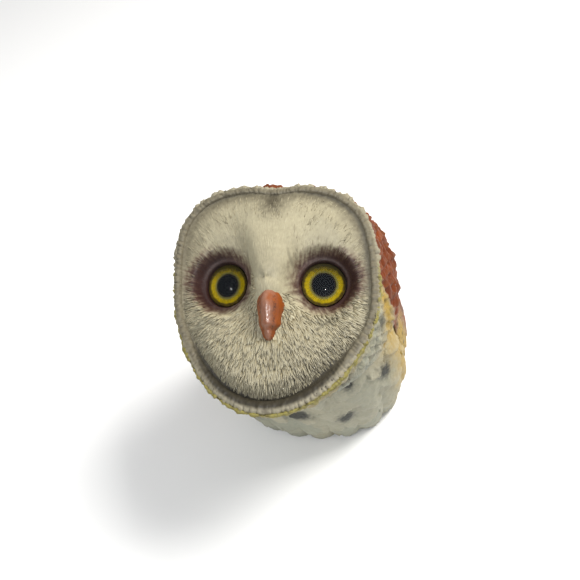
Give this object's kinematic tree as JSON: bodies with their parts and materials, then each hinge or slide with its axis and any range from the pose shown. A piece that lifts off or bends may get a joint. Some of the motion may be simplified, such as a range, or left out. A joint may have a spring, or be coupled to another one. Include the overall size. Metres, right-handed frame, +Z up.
{
  "type": "owl figurine",
  "caption": "Plump hollow-cast barn owl looking up, with separate head, body, wings, tail, feet, beak and clear domed eyes.",
  "frame": {"origin": "bottom centre of the bounding box, on the table under the felt pad", "axes": "+Z up, chest and face towards -Y, the owl's own left towards +X, symmetric about X = 0"},
  "size_m": [0.0716, 0.0988, 0.1009],
  "materials": {
    "cream_resin": "hand-painted resin, cream with dry-brushed strokes",
    "chest_resin": "hand-painted resin, cream with dark spots",
    "rust_resin": "hand-painted resin, rust brown with gold edges",
    "foot_resin": "hand-painted resin, horn coloured",
    "beak_resin": "semi-gloss orange paint",
    "clear_dome": "clear polished acrylic",
    "iris_yellow": "yellow paint",
    "pupil_black": "black gloss",
    "stopper_rubber": "matt",
    "felt": "green felt"
  },
  "bodies": {
    "root": {"head_shell": "cream_resin", "body_shell": "chest_resin", "wing_left": "rust_resin", "wing_right": "rust_resin", "tail_fan": "rust_resin", "foot_left": "foot_resin", "foot_right": "foot_resin", "beak": "beak_resin", "eye_lens_left": "clear_dome", "eye_lens_right": "clear_dome", "iris_left": "iris_yellow", "iris_right": "iris_yellow", "pupil_left": "pupil_black", "pupil_right": "pupil_black", "drain_stopper": "stopper_rubber", "felt_pad": "felt"}
  },
  "joints": []
}
